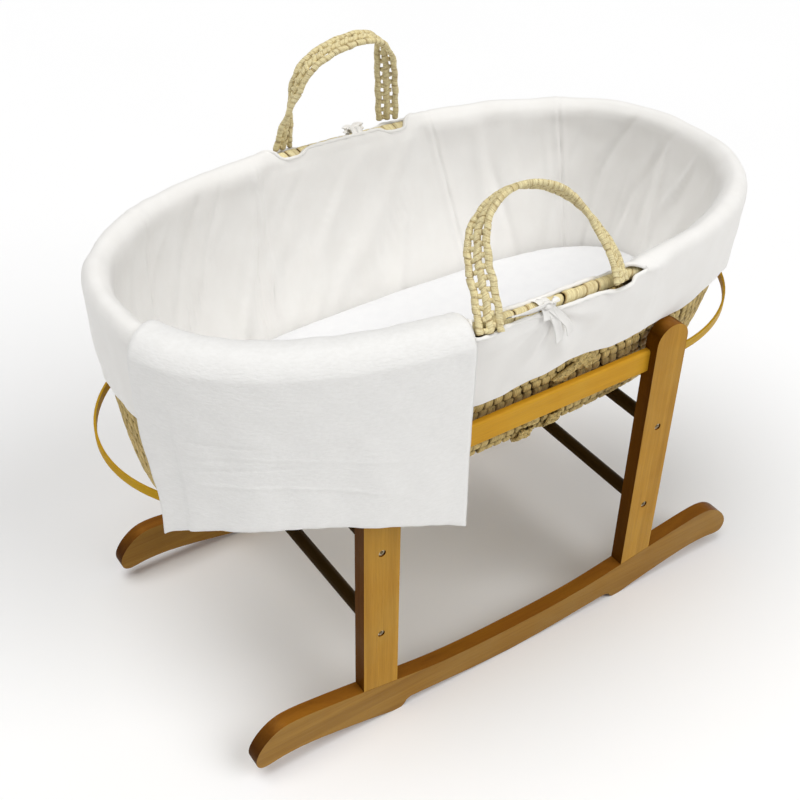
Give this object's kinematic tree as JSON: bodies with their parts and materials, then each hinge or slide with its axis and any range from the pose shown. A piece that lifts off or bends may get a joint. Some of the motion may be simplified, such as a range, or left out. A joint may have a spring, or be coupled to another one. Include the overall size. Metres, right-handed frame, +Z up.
{
  "type": "bassinet on stand",
  "caption": "Woven palm bassinet basket with fabric liner, mattress, blanket and two carry handles, resting in a timber stand with curved rocker feet.",
  "frame": {"origin": "on the floor, at the middle of the footprint of the stand", "axes": "+X along the length towards the foot end, -X the head end, -Y the front, +Z up"},
  "size_m": [0.895, 0.4947, 0.7199],
  "materials": {
    "stained_timber": "honey-brown stained softwood under satin lacquer",
    "dark_dowel": "the same stain, darker on turned dowels",
    "golden_timber": "golden lacquered lath and bentwood strip",
    "fastener_steel": "zinc-plated steel",
    "palm_leaf": "dry woven palm leaf, matt with darker leaf edges",
    "liner_cotton": "plain off-white cotton with sewn seams and soft padding",
    "mattress_sheet": "white fitted cotton sheet",
    "blanket_cotton": "white crinkled cotton blanket, folded"
  },
  "bodies": {
    "stand": {"rocker_front": "stained_timber", "rocker_rear": "stained_timber", "upright_front_left": "stained_timber", "foot_screw_front_left": "fastener_steel", "rail_pin_front_left": "golden_timber", "hoop_screw_front_left": "fastener_steel", "upright_front_right": "stained_timber", "foot_screw_front_right": "fastener_steel", "rail_pin_front_right": "golden_timber", "hoop_screw_front_right": "fastener_steel", "upright_rear_left": "stained_timber", "foot_screw_rear_left": "fastener_steel", "rail_pin_rear_left": "golden_timber", "hoop_screw_rear_left": "fastener_steel", "upright_rear_right": "stained_timber", "foot_screw_rear_right": "fastener_steel", "rail_pin_rear_right": "golden_timber", "hoop_screw_rear_right": "fastener_steel", "dowel_lower_left": "dark_dowel", "bolt_lower_front_left": "fastener_steel", "bolt_lower_rear_left": "fastener_steel", "dowel_upper_left": "dark_dowel", "bolt_upper_front_left": "fastener_steel", "bolt_upper_rear_left": "fastener_steel", "dowel_lower_right": "dark_dowel", "bolt_lower_front_right": "fastener_steel", "bolt_lower_rear_right": "fastener_steel", "dowel_upper_right": "dark_dowel", "bolt_upper_front_right": "fastener_steel", "bolt_upper_rear_right": "fastener_steel", "side_rail_front": "golden_timber", "side_rail_rear": "golden_timber", "end_hoop_left": "golden_timber", "end_hoop_right": "golden_timber"},
    "basket": {"basket_shell": "palm_leaf", "basket_rim_coil": "palm_leaf", "liner": "liner_cotton", "ribbon_bow_front": "liner_cotton", "ribbon_bow_rear": "liner_cotton", "handle_strap_front": "palm_leaf", "handle_strap_rear": "palm_leaf"},
    "mattress": {"mattress": "mattress_sheet"},
    "blanket": {"blanket": "blanket_cotton"},
    "handle_front": {"handle_front": "palm_leaf"},
    "handle_rear": {"handle_rear": "palm_leaf"}
  },
  "joints": [
    {"name": "basket_lift", "type": "slide", "parent": "stand", "child": "basket", "axis": [0, 0, 1], "range_m": [0, 0.35]},
    {"name": "mattress_lift", "type": "slide", "parent": "basket", "child": "mattress", "axis": [0, 0, 1], "range_m": [0, 0.32]},
    {"name": "blanket_lift", "type": "slide", "parent": "basket", "child": "blanket", "axis": [0, 0, 1], "range_m": [0, 0.3]},
    {"name": "handle_front_swing", "type": "hinge", "parent": "basket", "child": "handle_front", "pos_m": [0, -0.237, 0.585], "axis": [1, 0, 0], "range_deg": [-10, 95]},
    {"name": "handle_rear_swing", "type": "hinge", "parent": "basket", "child": "handle_rear", "pos_m": [0, 0.237, 0.585], "axis": [-1, 0, 0], "range_deg": [-40, 65]}
  ]
}
